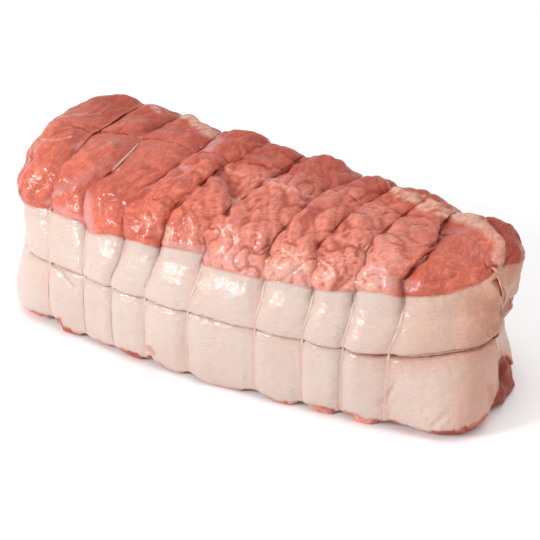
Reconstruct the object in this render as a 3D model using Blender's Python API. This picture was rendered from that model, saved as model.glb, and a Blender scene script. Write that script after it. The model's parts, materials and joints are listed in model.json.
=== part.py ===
"""Veal topside roast, raw: an oblong joint of meat tied with twine.

The body is one piece. Fat covers its sides in an upper and a lower band that meet in a
fold, and lean meat shows on top and underneath. Nine loops of twine go round it and one
more goes lengthwise. Each loop is a piece of its own.

Sizes are in millimetres until the meshes are made. X runs along the roast, Y from its
front to its back, Z up. The body starts as a grid on the skin of a box. The box is rounded
and bent to the roast's plan, and is then pressed in at the fold, the twine and the creases.
"""

import bpy
import numpy as np

MM = 0.001

# The whole roast, what its base is cut off by, and the shift that centres it
HALF_LENGTH = 147.0
HALF_WIDTH = 59.0
TOP = 99.0
FOLD = 42.3
RIM = 66.0
REST_CUT = 0.7
PLACE = (0.85, -4.50, 0.0)

# Plan along the length: places, and there the middle and half of the width, the height of
# the crown and how much higher than elsewhere the fold is
PLAN_PLACES = (-147.0, -100.0, -50.0, 0.0, 50.0, 100.0, 147.0)
PLAN_MIDDLE = (9.0, 7.0, 2.0, 0.5, 2.0, 4.5, 8.0)
PLAN_HALF = (60.0, 62.0, 61.0, 60.0, 56.5, 51.0, 47.0)
CROWN = (99.0, 100.0, 99.0, 99.0, 97.0, 93.5, 92.0)
FOLD_LIFT = (0.0, 0.0, 0.0, 0.0, 0.0, 2.0, 9.0)

# How far the box's upright corners are rounded and how square its edges stay, where there
# are two values at the front and at the back, which meet within this distance of the middle
FRONT_TO_BACK = 22.0
LEFT_ROUND = (44.0, 26.0)
RIGHT_ROUND = (74.0, 32.0)
SIDE_ROUND = 54.0
PLAN_POWER = 2.5
TOP_POWER = (2.9, 4.5)
BASE_POWER = 16.0
FRONT_LEAN = 0.13
LEAN_RUN = 6.0

# Twine, with the longest piece of it that is drawn straight and the deepest hollow it spans
TWINE = 1.4
GAP = 0.3
SPARE = 0.15
STRAIGHT = 17.0
HOLLOW = 15.0

# Where each loop crosses the front and the back, and half the shift from front to back at
# the two ends
LOOP_FRONT = (-103.0, -78.0, -58.0, -36.0, -8.5, 31.0, 57.5, 79.5, 105.0)
LOOP_BACK = (-112.0, -84.0, -50.0, -12.0, 9.0, 44.0, 70.0, 90.0, 103.0)
LEFT_SLANT = -6.0
RIGHT_SLANT = -3.0
LOOPS = len(LOOP_FRONT)

# The lengthwise loop's way across at each of the plan's places, from -1 front to 1 back
LENGTHWISE = (-0.44, -0.11, 0.10, 0.21, 0.16, 0.08, -0.22)

# How deep the twine pulls in, and how wide its trough is on each side of its middle
SIDE_PRESS = 2.2
TOP_PRESS = 6.0
BASE_PRESS = 6.5
END_PRESS = 6.0
TROUGH = 1.3
LENGTHWISE_SHARE = 0.5
LENGTHWISE_REACH = 24.0
LOBE_POWER = 3.5
SHOULDER_POWER = 3.0

# Heights between which the side's press turns to the top's and the base's
TOP_BLEND = (RIM - 6.0, RIM + 10.0)
BASE_BLEND = (0.0, 5.0)
END_BLEND = (9.4, 9.9)

# How far the edges of the two bands of fat lie back from their middles
FOOT_LAY = 1.6
LOWER_LAY = 3.6
UPPER_LAY = 2.6
BAND_POWER = 4.0
BAND_FOOT = 2.0

# Lumps and hollows: their middle, reach and height
LUMPS = (
    ((-144.0, -28.0, 82.0), 24.0, 9.0),
    ((-146.0, 10.0, 90.0), 24.0, 3.0),
    ((-134.0, -45.0, 20.0), 26.0, 6.0),
    ((-140.0, -30.0, 52.0), 14.0, -4.0),
    ((-46.0, -42.0, 76.0), 14.0, 4.0),
    ((139.0, 44.0, 80.0), 18.0, 4.0),
    ((150.0, 30.0, 40.0), 26.0, -12.0),
    ((122.0, -30.0, 16.0), 26.0, 5.0),
    ((131.0, -24.0, 5.0), 16.0, 6.0),
    ((134.0, 40.0, 31.0), 16.0, -3.0),
    ((146.0, 20.0, 12.0), 12.0, 2.0),
)

# Creases on top besides the twine's: their two ends, depth and half width
CREASES = (
    ((-7.0, -22.0), (-14.0, -4.0), 3.0, 7.0),
    ((-14.0, -4.0), (-30.0, 14.0), 3.0, 7.0),
)

# Slow waves that make no two lobes alike: their height, number and lengths
UNEVEN = 1.0
WAVES = 7
WAVE_LENGTHS = (32.0, 70.0)
SEED = 11

# The grid: across from -1 front to 1 back, up in millimetres, along by share of a lobe
TROUGH_SHARE = TROUGH / HALF_WIDTH
ACROSS = (-1.0, -0.84, -0.69, -0.53, -0.36, -0.18, -TROUGH_SHARE,
          TROUGH_SHARE, 0.2, 0.38, 0.55, 0.71, 0.86, 1.0)
LEVELS = (0.0, 4.0, 8.5, 17.0, 27.0, 35.0, 39.8, FOLD, 44.8, 51.0, 58.0, 66.0, 76.0, 87.0, TOP)
NARROW_LOBE = (0.1, 0.28, 0.5, 0.72, 0.9)
WIDE_LOBE = (0.07, 0.2, 0.36, 0.52, 0.68, 0.83, 0.94)
WIDEST_NARROW = 32.0

VEAL_COLOUR = (0.62, 0.19, 0.15, 1.0)
VEAL_ROUGHNESS = 0.4
TWINE_COLOUR = (0.86, 0.78, 0.68, 1.0)
TWINE_ROUGHNESS = 0.85

# Station 0 is the left end, 1 to 9 are the loops and 10 is the right end
STATIONS = np.arange(LOOPS + 2)
STATION_X = np.array([-HALF_LENGTH]
                     + [(front + back) / 2 for front, back in zip(LOOP_FRONT, LOOP_BACK)]
                     + [HALF_LENGTH])
STATION_SLANT = np.array([LEFT_SLANT]
                         + [(back - front) / 2 for front, back in zip(LOOP_FRONT, LOOP_BACK)]
                         + [RIGHT_SLANT])


def curve_through(x, values):
    """A smooth curve through values at the plan's places."""
    places, values = np.asarray(PLAN_PLACES), np.asarray(values)
    slopes = np.gradient(values, places)
    cell = np.clip(np.searchsorted(places, x) - 1, 0, len(places) - 2)
    step = places[cell + 1] - places[cell]
    t = np.clip((x - places[cell]) / step, 0.0, 1.0)
    return ((2 * t**3 - 3 * t**2 + 1) * values[cell]
            + (t**3 - 2 * t**2 + t) * step * slopes[cell]
            + (3 * t**2 - 2 * t**3) * values[cell + 1]
            + (t**3 - t**2) * step * slopes[cell + 1])


def ease(low, high, value):
    t = np.clip((value - low) / (high - low), 0.0, 1.0)
    return t * t * (3 - 2 * t)


def mixed(share, first, second):
    return first + (second - first) * share


def station_x(station):
    return np.interp(station, STATIONS, STATION_X)


def box_skin(columns, rows, levels):
    """Grid points on the six sides of a box, and the quads between them, facing out."""
    count = (columns, rows, levels)
    skin = np.ones(count, bool)
    skin[1:-1, 1:-1, 1:-1] = False
    number = np.full(count, -1)
    number[skin] = np.arange(skin.sum())

    def quads(sheet, turned):
        corners = (sheet[:-1, :-1], sheet[1:, :-1], sheet[1:, 1:], sheet[:-1, 1:])
        found = np.stack(corners, axis=-1).reshape(-1, 4)
        return found[:, ::-1] if turned else found

    faces = np.concatenate([
        quads(number[:, :, -1], False), quads(number[:, :, 0], True),
        quads(number[:, 0, :], False), quads(number[:, -1, :], True),
        quads(number[-1, :, :], False), quads(number[0, :, :], True)])
    return np.nonzero(skin), faces


def outward(points, faces):
    """The direction that faces out at each point."""
    facing = np.cross(points[faces[:, 2]] - points[faces[:, 0]],
                      points[faces[:, 3]] - points[faces[:, 1]])
    total = np.zeros_like(points)
    for corner in faces.T:
        for axis in range(3):
            total[:, axis] += np.bincount(corner, facing[:, axis], len(points))
    return total / np.linalg.norm(total, axis=1, keepdims=True)


def rounded(x, across, level):
    """The box's points drawn in to a block with rounded corners and edges."""
    y = across * HALF_WIDTH
    back = ease(-FRONT_TO_BACK, FRONT_TO_BACK, y)
    end_round = np.where(x < 0, mixed(back, *LEFT_ROUND), mixed(back, *RIGHT_ROUND))
    inner_x = np.minimum(np.abs(x), HALF_LENGTH - end_round)
    inner_y = np.minimum(np.abs(y), HALF_WIDTH - SIDE_ROUND)
    out_x = (np.abs(x) - inner_x) / end_round
    out_y = (np.abs(y) - inner_y) / SIDE_ROUND
    reach = np.maximum(out_x, out_y)
    length = (out_x ** PLAN_POWER + out_y ** PLAN_POWER) ** (1 / PLAN_POWER)
    corner = 1 - (1 - reach / np.maximum(length, 1e-9)) * reach

    above = level > FOLD
    height = np.where(above, TOP - FOLD, FOLD)
    rise = np.abs(level - FOLD) / height
    power = np.where(above, mixed(back, *TOP_POWER), BASE_POWER)
    length = (reach ** power + rise ** power) ** (1 / power)
    edge = np.maximum(reach, rise) / np.maximum(length, 1e-9)
    return (np.sign(x) * (inner_x + end_round * out_x * corner * edge),
            np.sign(y) * (inner_y + SIDE_ROUND * out_y * corner * edge),
            FOLD + np.where(above, 1, -1) * rise * edge * height)


def plain_block(station, across, level):
    """The roast's outer form, before the fold and the twine are pressed in."""
    x = station_x(station)
    shift = curve_through(x, LENGTHWISE)
    x, y, z = rounded(x, across + shift * (1 - across ** 2), level)
    lean = np.where(y < 0, FRONT_LEAN * ease(FOLD, RIM + LEAN_RUN, z), 0.0)
    side = y / HALF_WIDTH
    across_the_plan = curve_through(x, PLAN_MIDDLE) + side * (1 - lean) * curve_through(x, PLAN_HALF)
    slant = np.interp(station, STATIONS, STATION_SLANT) * side
    return np.stack([x + slant, across_the_plan, z], axis=1)


def pillow(away, half_span, power):
    """0 in a trough of the twine, rising to 1 half_span away from its middle."""
    t = np.clip((away - TROUGH) / (half_span - TROUGH), 0.0, 1.0)
    return 1 - (1 - t) ** power


def between_loops(station):
    """0 under each loop, 1 in the middle of a lobe or at an end of the roast."""
    nearest = np.clip(np.round(station), 1, LOOPS).astype(int)
    away = np.abs(station_x(station) - STATION_X[nearest])
    lobe = np.clip(np.floor(station), 0, LOOPS).astype(int)
    span = np.diff(STATION_X)[lobe]
    at_end = (lobe == 0) | (lobe == LOOPS)
    return pillow(away, np.where(at_end, span, span / 2), LOBE_POWER)


def waves(points):
    """Slow waves through space, mostly from -1 to 1."""
    chance = np.random.default_rng(SEED)
    total = np.zeros(len(points))
    for _ in range(WAVES):
        heading = chance.normal(size=3)
        heading /= np.linalg.norm(heading)
        turns = points @ heading / chance.uniform(*WAVE_LENGTHS) + chance.uniform()
        total += np.sin(2 * np.pi * turns)
    return total / WAVES ** 0.5


def away_from_line(places, start, end):
    start, run = np.asarray(start), np.subtract(end, start)
    share = np.clip((places - start) @ run / (run @ run), 0.0, 1.0)
    return np.linalg.norm(places - start - share[:, None] * run, axis=1)


def press(points, out, station, across):
    """How far each point moves out, or in where it is below 0."""
    z = points[:, 2]
    on_top = ease(*TOP_BLEND, z)
    at_base = 1 - ease(*BASE_BLEND, z)
    on_end = ease(*END_BLEND, station)
    lobe = between_loops(station)
    beside = pillow(np.abs(across) * HALF_WIDTH, LENGTHWISE_REACH, SHOULDER_POWER)
    swell = lobe * (1 - LENGTHWISE_SHARE * (1 - beside))

    depth = mixed(on_top, mixed(at_base, SIDE_PRESS, BASE_PRESS), TOP_PRESS)
    depth = mixed(on_end, depth, END_PRESS)
    moved = -depth * (1 - swell) + UNEVEN * waves(points) * swell
    not_under = 1 - np.maximum(-out[:, 2], 0.0)
    for middle, reach, height in LUMPS:
        apart = np.linalg.norm(points - middle, axis=1) / reach
        moved += height * np.exp(-apart ** 2) * not_under
    for start, end, deep, half_wide in CREASES:
        apart = away_from_line(points[:, :2], start, end) / half_wide
        moved -= deep * on_top * lobe * np.exp(-apart ** 2)

    lower = 2 * np.clip((z - BAND_FOOT) / (FOLD - BAND_FOOT), 0, 1) - 1
    upper = 2 * np.clip((z - FOLD) / (RIM - FOLD), 0, 1) - 1
    lay = np.select([z >= FOLD, lower > 0], [UPPER_LAY, LOWER_LAY], FOOT_LAY)
    edge = np.abs(np.where(z < FOLD, lower, upper)) ** BAND_POWER
    return moved - lay * edge * (1 - on_top) * (1 - np.abs(out[:, 2]))


def body_points(station, across, level, faces):
    """Every point of the body in its place, with the base cut flat where it rests."""
    block = plain_block(station, across, level)
    out = outward(block, faces)
    x, y, z = (block + out * press(block, out, station, across)[:, None]).T
    fold = FOLD + curve_through(x, FOLD_LIFT)
    crown = curve_through(x, CROWN)
    z = np.where(z < FOLD, z * fold / FOLD, fold + (z - FOLD) * (crown - fold) / (TOP - FOLD))
    z = np.maximum(z - REST_CUT, 0.0)
    return np.stack([x, y, z], axis=1) + PLACE


def grid_stations():
    """The grid's columns: both sides of each loop's trough, and some across each lobe."""
    found = [0.0]
    for lobe, span in enumerate(np.diff(STATION_X)):
        start = lobe + TROUGH / span if lobe > 0 else 0.0
        stop = lobe + 1 - TROUGH / span if lobe < LOOPS else lobe + 1.0
        shares = NARROW_LOBE if span < WIDEST_NARROW else WIDE_LOBE
        if lobe > 0:
            found.append(start)
        found.extend(start + (stop - start) * share for share in shares)
        found.append(stop)
    return np.array(found)


def plain_material(name, colour, roughness):
    material = bpy.data.materials.new(name)
    material.use_nodes = True
    shader = material.node_tree.nodes["Principled BSDF"]
    shader.inputs["Base Color"].default_value = colour
    shader.inputs["Roughness"].default_value = roughness
    shader.inputs["Metallic"].default_value = 0.0
    return material


def make_body():
    """The meat, and what the twine needs: its points, stations and places across."""
    columns, rows, levels = grid_stations(), np.array(ACROSS), np.array(LEVELS)
    (i, j, k), faces = box_skin(len(columns), len(rows), len(levels))
    points = body_points(columns[i], rows[j], levels[k], faces)
    mesh = bpy.data.meshes.new("veal")
    mesh.from_pydata((points * MM).tolist(), [], faces.tolist())
    mesh.shade_smooth()
    mesh.materials.append(plain_material("veal", VEAL_COLOUR, VEAL_ROUGHNESS))
    bpy.context.collection.objects.link(bpy.data.objects.new("veal", mesh))
    return points, columns[i], rows[j]


def taut(ring, plane):
    """The points of ring that a taut strand touches, in order, seen in the named plane."""
    flat = ring[:, plane]
    order = np.lexsort((flat[:, 1], flat[:, 0]))

    def chain(numbers):
        kept = []
        for n in numbers:
            while len(kept) > 1:
                run, turn = flat[kept[-1]] - flat[kept[-2]], flat[n] - flat[kept[-2]]
                if run[0] * turn[1] - run[1] * turn[0] > 1e-9:
                    break
                kept.pop()
            kept.append(n)
        return kept[:-1]

    return ring[chain(order) + chain(order[::-1])]


def along_trough(ring, plane):
    """A strand's line: it runs straight over hollows, but sideways it keeps to its trough."""
    corners = taut(ring, plane)
    near = 1e-6
    sideways = 3 - sum(plane)
    line = []
    for start, end in zip(corners, np.roll(corners, -1, axis=0)):
        run = (end - start)[[*plane]]
        length = np.linalg.norm(run)
        ahead, above = ((ring - start)[:, plane] @ np.array([run, [-run[1], run[0]]]).T / length).T
        passed = np.flatnonzero((ahead > -near) & (ahead < length + near) & (above < HOLLOW))
        passed = passed[np.argsort(ahead[passed])]
        shares = np.linspace(0, 1, int(np.ceil(length / STRAIGHT)), endpoint=False)
        piece = start + shares[:, None] * (end - start)
        piece[:, sideways] = np.interp(shares * length, ahead[passed], ring[passed, sideways])
        line.append(piece)
    return np.concatenate(line)


def strand_route(ring, plane):
    """The middle of a strand drawn taut round ring, a gap clear of it."""
    route = along_trough(ring, plane)
    step = np.linalg.norm(route - np.roll(route, 1, axis=0), axis=1)
    route = route[step > TWINE]
    flat = route[:, plane]
    before = flat - np.roll(flat, 1, axis=0)
    after = np.roll(flat, -1, axis=0) - flat
    before /= np.linalg.norm(before, axis=1, keepdims=True)
    after /= np.linalg.norm(after, axis=1, keepdims=True)
    along = before + after
    along /= np.linalg.norm(along, axis=1, keepdims=True)
    lift = (TWINE / 2 + GAP + SPARE) / (along * after).sum(axis=1)
    route[:, plane[0]] += along[:, 1] * lift
    route[:, plane[1]] -= along[:, 0] * lift
    return route


def make_strand(name, route):
    curve = bpy.data.curves.new(name, "CURVE")
    curve.dimensions = "3D"
    curve.bevel_depth = TWINE / 2 * MM
    curve.bevel_resolution = 1
    spline = curve.splines.new("POLY")
    spline.points.add(len(route) - 1)
    for point, place in zip(spline.points, route * MM):
        point.co = (*place, 1.0)
    spline.use_cyclic_u = True
    curve.materials.append(plain_material(name, TWINE_COLOUR, TWINE_ROUGHNESS))
    bpy.context.collection.objects.link(bpy.data.objects.new(name, curve))


def middle_of_trough(points, position, low, high):
    """The line midway between the grid lines at low and high."""
    near = 1e-6
    return (points[np.abs(position - low) < near] + points[np.abs(position - high) < near]) / 2


def build():
    for old in list(bpy.data.objects):
        bpy.data.objects.remove(old, do_unlink=True)
    points, station, across = make_body()
    x = station_x(station)
    for loop in range(1, LOOPS + 1):
        ring = middle_of_trough(points, x, STATION_X[loop] - TROUGH, STATION_X[loop] + TROUGH)
        make_strand(f"loop_{loop}", strand_route(ring, (1, 2)))
    ring = middle_of_trough(points, across, -TROUGH_SHARE, TROUGH_SHARE)
    make_strand("lengthwise", strand_route(ring, (0, 2)))


build()
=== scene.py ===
"""Looks for the veal topside roast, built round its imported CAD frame.

The body is a fine grid on the skin of a box, formed by the same steps as the CAD solid and
then given its smaller relief. Sizes are in millimetres until the meshes are made. Places on
the visible side that are read from the photograph are in its pixels, 540 each way.
"""

import itertools
import json
import math
from types import SimpleNamespace

import bpy
import numpy as np
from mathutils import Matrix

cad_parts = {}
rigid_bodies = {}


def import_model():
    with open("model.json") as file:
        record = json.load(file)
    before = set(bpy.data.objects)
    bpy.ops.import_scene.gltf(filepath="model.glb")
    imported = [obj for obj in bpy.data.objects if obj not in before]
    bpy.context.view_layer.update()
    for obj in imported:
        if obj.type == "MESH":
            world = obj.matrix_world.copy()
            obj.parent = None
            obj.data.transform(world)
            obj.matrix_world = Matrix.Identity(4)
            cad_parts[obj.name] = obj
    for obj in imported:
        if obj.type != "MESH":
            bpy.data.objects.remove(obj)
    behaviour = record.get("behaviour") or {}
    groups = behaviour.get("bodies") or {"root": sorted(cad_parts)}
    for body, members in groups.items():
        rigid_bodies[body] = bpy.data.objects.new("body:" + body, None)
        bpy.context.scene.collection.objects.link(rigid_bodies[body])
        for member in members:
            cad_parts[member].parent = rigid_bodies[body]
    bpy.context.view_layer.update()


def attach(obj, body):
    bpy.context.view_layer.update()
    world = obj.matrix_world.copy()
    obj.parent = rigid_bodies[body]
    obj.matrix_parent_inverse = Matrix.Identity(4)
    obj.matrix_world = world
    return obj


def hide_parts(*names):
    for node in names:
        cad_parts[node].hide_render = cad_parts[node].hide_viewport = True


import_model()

MM = 0.001
NEAR = 1e-6

# Sizes shared with the CAD
HALF_LENGTH, HALF_WIDTH, TOP, FOLD, RIM, REST_CUT = 147, 59, 99, 42.3, 66, 0.7
PLACE = (0.85, -4.5, 0)
PLAN_PLACES = (-147, -100, -50, 0, 50, 100, 147)
PLAN_MIDDLE = (9, 7, 2, 0.5, 2, 4.5, 8)
PLAN_HALF = (60, 62, 61, 60, 56.5, 51, 47)
CROWN = (99, 100, 99, 99, 97, 93.5, 92)
FOLD_LIFT = (0, 0, 0, 0, 0, 2, 9)
FRONT_TO_BACK = 22
LEFT_ROUND, RIGHT_ROUND, SIDE_ROUND = (44, 26), (74, 32), 54
PLAN_POWER, TOP_POWER, BASE_POWER = 2.5, (2.9, 4.5), 16
FRONT_LEAN, LEAN_RUN = 0.13, 6
TWINE = 1.4
LOOP_FRONT = (-103, -78, -58, -36, -8.5, 31, 57.5, 79.5, 105)
LOOP_BACK = (-112, -84, -50, -12, 9, 44, 70, 90, 103)
LEFT_SLANT, RIGHT_SLANT = -6, -3
LOOPS = len(LOOP_FRONT)
LENGTHWISE = (-0.44, -0.11, 0.10, 0.21, 0.16, 0.08, -0.22)
SIDE_PRESS, TOP_PRESS, BASE_PRESS, END_PRESS = 2.2, 6, 6.5, 6
TROUGH, LENGTHWISE_SHARE, LENGTHWISE_REACH = 0.9, 0.5, 24
LOBE_POWER, SHOULDER_POWER = 3.5, 3
TOP_BLEND, BASE_BLEND, END_BLEND = (RIM - 6, RIM + 10), (0, 5), (9.4, 9.9)
FOOT_LAY, LOWER_LAY, UPPER_LAY, BAND_POWER, BAND_FOOT = 1.6, 3.6, 2.6, 4, 2
LUMPS = (
    ((-144, -28, 82), 24, 9), ((-146, 10, 90), 24, 3), ((-134, -45, 20), 26, 6),
    ((-140, -30, 52), 14, -4), ((-46, -42, 76), 14, 4), ((139, 44, 80), 18, 4),
    ((150, 30, 40), 26, -12), ((122, -30, 16), 26, 5), ((131, -24, 5), 16, 6),
    ((134, 40, 31), 16, -3), ((146, 20, 12), 12, 2),
)
CREASES = (
    ((-7, -22), (-14, -4), 3, 7), ((-14, -4), (-30, 14), 3, 7),
)
UNEVEN, WAVES, WAVE_LENGTHS, SEED = 1, 7, (32, 70), 11

STATIONS = np.arange(LOOPS + 2)
STATION_X = np.array([-HALF_LENGTH, *np.add(LOOP_FRONT, LOOP_BACK) / 2, HALF_LENGTH])
STATION_SLANT = np.array([LEFT_SLANT, *np.subtract(LOOP_BACK, LOOP_FRONT) / 2, RIGHT_SLANT])

# The fine grid
COLUMN_STEP, ROW_STEP, LEVEL_STEP = 0.8, 0.95, 0.9
CROWDING = 0.45

# The camera
AZIMUTH, ELEVATION, DISTANCE = 31.5, 30, 950
TARGET = (12.86, -11.01, 42.75)
FOCAL_PX, PHOTO_PX, SENSOR = 1758, 540, 36
PRINCIPAL = (270.3, 280.1)
PX_PER_MM = 1.7


def curve_through(x, values):
    """A smooth curve through values at the plan's places."""
    places, values = np.asarray(PLAN_PLACES), np.asarray(values)
    slopes = np.gradient(values, places)
    cell = np.clip(np.searchsorted(places, x) - 1, 0, len(places) - 2)
    step = places[cell + 1] - places[cell]
    t = np.clip((x - places[cell]) / step, 0, 1)
    return ((2 * t**3 - 3 * t**2 + 1) * values[cell]
            + (t**3 - 2 * t**2 + t) * step * slopes[cell]
            + (3 * t**2 - 2 * t**3) * values[cell + 1]
            + (t**3 - t**2) * step * slopes[cell + 1])


def ease(low, high, value):
    t = np.clip((value - low) / (high - low), 0, 1)
    return t * t * (3 - 2 * t)


def mixed(share, first, second):
    return first + (second - first) * share


def bell(apart, half_wide):
    """1 where apart is 0, falling softly to 0 on both sides."""
    return np.exp(-(apart / half_wide) ** 2)


def unit(vectors):
    return vectors / np.linalg.norm(vectors, axis=1, keepdims=True)


def station_x(station):
    return np.interp(station, STATIONS, STATION_X)


def lobe_at(station):
    """The number of the lobe, with 0 to the left of the first loop."""
    return np.clip(np.floor(station), 0, LOOPS).astype(int)


def box_skin(columns, rows, levels):
    """Grid points on the six sides of a box, and the quads between them, facing out."""
    count = (columns, rows, levels)
    skin = np.ones(count, bool)
    skin[1:-1, 1:-1, 1:-1] = False
    number = np.full(count, -1)
    number[skin] = np.arange(skin.sum())

    def quads(sheet, turned):
        corners = (sheet[:-1, :-1], sheet[1:, :-1], sheet[1:, 1:], sheet[:-1, 1:])
        found = np.stack(corners, axis=-1).reshape(-1, 4)
        return found[:, ::-1] if turned else found

    faces = np.concatenate([
        quads(number[:, :, -1], False), quads(number[:, :, 0], True),
        quads(number[:, 0, :], False), quads(number[:, -1, :], True),
        quads(number[-1, :, :], False), quads(number[0, :, :], True)])
    return np.nonzero(skin), faces


def outward(points, faces):
    """The direction that faces out at each point."""
    facing = np.cross(points[faces[:, 2]] - points[faces[:, 0]],
                      points[faces[:, 3]] - points[faces[:, 1]])
    total = np.zeros_like(points)
    for corner in faces.T:
        for axis in range(3):
            total[:, axis] += np.bincount(corner, facing[:, axis], len(points))
    return total / np.maximum(np.linalg.norm(total, axis=1, keepdims=True), 1e-12)


def rounded(x, across, level):
    """The box's points drawn in to a block with rounded corners and edges."""
    y = across * HALF_WIDTH
    back = ease(-FRONT_TO_BACK, FRONT_TO_BACK, y)
    end_round = np.where(x < 0, mixed(back, *LEFT_ROUND), mixed(back, *RIGHT_ROUND))
    inner_x = np.minimum(np.abs(x), HALF_LENGTH - end_round)
    inner_y = np.minimum(np.abs(y), HALF_WIDTH - SIDE_ROUND)
    out_x = (np.abs(x) - inner_x) / end_round
    out_y = (np.abs(y) - inner_y) / SIDE_ROUND
    reach = np.maximum(out_x, out_y)
    length = (out_x ** PLAN_POWER + out_y ** PLAN_POWER) ** (1 / PLAN_POWER)
    corner = 1 - (1 - reach / np.maximum(length, 1e-9)) * reach

    above = level > FOLD
    height = np.where(above, TOP - FOLD, FOLD)
    rise = np.abs(level - FOLD) / height
    power = np.where(above, mixed(back, *TOP_POWER), BASE_POWER)
    length = (reach ** power + rise ** power) ** (1 / power)
    edge = np.maximum(reach, rise) / np.maximum(length, 1e-9)
    return (np.sign(x) * (inner_x + end_round * out_x * corner * edge),
            np.sign(y) * (inner_y + SIDE_ROUND * out_y * corner * edge),
            FOLD + np.where(above, 1, -1) * rise * edge * height)


def plain_block(station, across, level):
    """The roast's outer form, before the fold and the twine are pressed in."""
    x = station_x(station)
    shift = curve_through(x, LENGTHWISE)
    x, y, z = rounded(x, across + shift * (1 - across ** 2), level)
    lean = np.where(y < 0, FRONT_LEAN * ease(FOLD, RIM + LEAN_RUN, z), 0)
    side = y / HALF_WIDTH
    slant = np.interp(station, STATIONS, STATION_SLANT) * side
    y = curve_through(x, PLAN_MIDDLE) + side * (1 - lean) * curve_through(x, PLAN_HALF)
    return np.stack([x + slant, y, z], axis=1)


def pillow(away, half_span, power):
    """0 in a trough of the twine, rising to 1 half_span away from its middle."""
    t = np.clip((away - TROUGH) / (half_span - TROUGH), 0, 1)
    return 1 - (1 - t) ** power


def nearest_loop(station):
    """The number of the nearest loop and the way along the roast from it."""
    nearest = np.clip(np.round(station), 1, LOOPS).astype(int)
    return nearest, station_x(station) - STATION_X[nearest]


def between_loops(station):
    """0 under each loop, 1 in the middle of a lobe or at an end of the roast."""
    away = np.abs(nearest_loop(station)[1])
    lobe = lobe_at(station)
    span = np.diff(STATION_X)[lobe]
    at_end = (lobe == 0) | (lobe == LOOPS)
    return pillow(away, np.where(at_end, span, span / 2), LOBE_POWER)


def waves(points):
    """Slow waves through space, mostly from -1 to 1."""
    chance = np.random.default_rng(SEED)
    total = np.zeros(len(points))
    for _ in range(WAVES):
        heading = chance.normal(size=3)
        heading /= np.linalg.norm(heading)
        turns = points @ heading / chance.uniform(*WAVE_LENGTHS) + chance.uniform()
        total += np.sin(2 * np.pi * turns)
    return total / WAVES ** 0.5


def away_from_line(places, start, end):
    start, run = np.asarray(start), np.subtract(end, start)
    share = np.clip((places - start) @ run / (run @ run), 0, 1)
    return np.linalg.norm(places - start - share[:, None] * run, axis=1)


def press(points, out, station, across):
    """How far each point moves out, or in where it is below 0."""
    z = points[:, 2]
    on_top = ease(*TOP_BLEND, z)
    at_base = 1 - ease(*BASE_BLEND, z)
    on_end = ease(*END_BLEND, station)
    lobe = between_loops(station)
    beside = pillow(np.abs(across) * HALF_WIDTH, LENGTHWISE_REACH, SHOULDER_POWER)
    swell = lobe * (1 - LENGTHWISE_SHARE * (1 - beside))

    depth = mixed(on_top, mixed(at_base, SIDE_PRESS, BASE_PRESS), TOP_PRESS)
    depth = mixed(on_end, depth, END_PRESS)
    moved = -depth * (1 - swell) + UNEVEN * waves(points) * swell
    not_under = 1 - np.maximum(-out[:, 2], 0)
    for middle, reach, height in LUMPS:
        moved += height * bell(np.linalg.norm(points - middle, axis=1), reach) * not_under
    for start, end, deep, half_wide in CREASES:
        moved -= deep * on_top * lobe * bell(away_from_line(points[:, :2], start, end), half_wide)

    lower = 2 * np.clip((z - BAND_FOOT) / (FOLD - BAND_FOOT), 0, 1) - 1
    upper = 2 * np.clip((z - FOLD) / (RIM - FOLD), 0, 1) - 1
    lay = np.select([z >= FOLD, lower > 0], [UPPER_LAY, LOWER_LAY], FOOT_LAY)
    edge = np.abs(np.where(z < FOLD, lower, upper)) ** BAND_POWER
    return moved - lay * edge * (1 - on_top) * (1 - np.abs(out[:, 2]))


def body_points(station, across, level, faces):
    """Every point of the body in its place, with the base cut flat where it rests."""
    block = plain_block(station, across, level)
    out = outward(block, faces)
    x, y, z = (block + out * press(block, out, station, across)[:, None]).T
    fold = FOLD + curve_through(x, FOLD_LIFT)
    crown = curve_through(x, CROWN)
    z = np.where(z < FOLD, z * fold / FOLD, fold + (z - FOLD) * (crown - fold) / (TOP - FOLD))
    z = np.maximum(z - REST_CUT, 0)
    return np.stack([x, y, z], axis=1) + PLACE


# Noise
NOISE_SEED, NOISE_GAIN, TURN_APART = 29, 1.7, 17.31
CHANCE = np.random.default_rng(NOISE_SEED)
GRADIENTS = unit(CHANCE.normal(size=(256, 3)))
ORDER = CHANCE.permutation(256)


def noise(points, size, turn=0):
    """Smooth noise through space, mostly from -1 to 1, with lumps of about this size."""
    places = points / size + TURN_APART * turn
    cell = np.floor(places).astype(np.int64)
    part = places - cell
    weight = part ** 3 * (part * (part * 6 - 15) + 10)
    total = np.zeros(len(points))
    for corner in itertools.product((0, 1), repeat=3):
        a, b, c = (cell + corner).T
        number = ORDER[(a + ORDER[(b + ORDER[c & 255]) & 255]) & 255]
        share = np.prod(np.where(corner, weight, 1 - weight), axis=1)
        total += share * np.einsum("ij,ij->i", GRADIENTS[number], part - corner)
    return total * NOISE_GAIN


def turned(points, degrees, sizes):
    """The points on axes turned about Z by an angle, in units of the three sizes."""
    c, s = math.cos(math.radians(degrees)), math.sin(math.radians(degrees))
    x, y, z = points.T
    return np.stack([x * c + y * s, y * c - x * s, z], axis=1) / sizes


# The photograph's view
def view_axes():
    a, e = math.radians(AZIMUTH), math.radians(ELEVATION)
    back = np.array([math.sin(a) * math.cos(e), -math.cos(a) * math.cos(e), math.sin(e)])
    right = np.array([math.cos(a), math.sin(a), 0])
    return back, right, np.cross(back, right)


def photo_places(points):
    """The pixels of the photograph that the points fall on."""
    back, right, up = view_axes()
    place = points - TARGET
    scale = FOCAL_PX / (DISTANCE - place @ back)
    return PRINCIPAL[0] + place @ right * scale, PRINCIPAL[1] - place @ up * scale


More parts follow.
